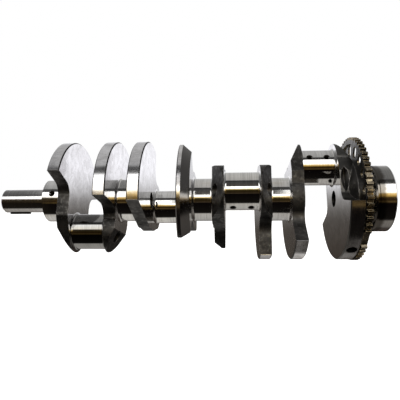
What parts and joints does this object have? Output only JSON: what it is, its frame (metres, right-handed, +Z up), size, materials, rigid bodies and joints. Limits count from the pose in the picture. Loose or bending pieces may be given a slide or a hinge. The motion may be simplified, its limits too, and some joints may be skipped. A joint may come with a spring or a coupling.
{
  "type": "crankshaft",
  "caption": "Cross-plane V8 crankshaft with ground journals and crankpins, counterweighted webs, keyed snout, toothed reluctor ring and rear seal flange.",
  "frame": {"origin": "centre of the middle main journal, on the shaft's axis", "axes": "+X along the shaft's axis from snout to rear flange; +Z up; the first crankpin points down and a little toward -Y, 13.6 degrees round from -Z"},
  "size_m": [0.5917, 0.182, 0.182],
  "materials": {
    "ground_journal": "ground and polished round the shaft, mirror-like with fine grinding lines",
    "forged_web": "dark forged skin on the sides; milled and turned faces bright brushed steel",
    "turned_steel": "turned, satin",
    "turned_flange": "ground seal surface, turned rear face",
    "ring_steel": "sintered steel with cut teeth, slightly bronze",
    "bush_bronze": "oiled bronze",
    "plug_steel": "pressed steel, passivated",
    "dark_pin": "oil-blackened steel"
  },
  "bodies": {
    "root": {"snout": "turned_steel", "main_journal_1": "ground_journal", "main_journal_2": "ground_journal", "main_journal_3": "ground_journal", "main_journal_4": "ground_journal", "main_journal_5": "ground_journal", "crankpin_1": "ground_journal", "crankpin_2": "ground_journal", "crankpin_3": "ground_journal", "crankpin_4": "ground_journal", "web_1": "forged_web", "web_2": "forged_web", "web_3": "forged_web", "web_4": "forged_web", "web_5": "forged_web", "web_6": "forged_web", "web_7": "forged_web", "web_8": "forged_web", "reluctor_ring": "ring_steel", "seal_flange": "turned_flange", "pilot_bushing": "bush_bronze", "core_plug": "plug_steel", "flange_dowel": "dark_pin", "snout_key": "dark_pin"}
  },
  "joints": []
}
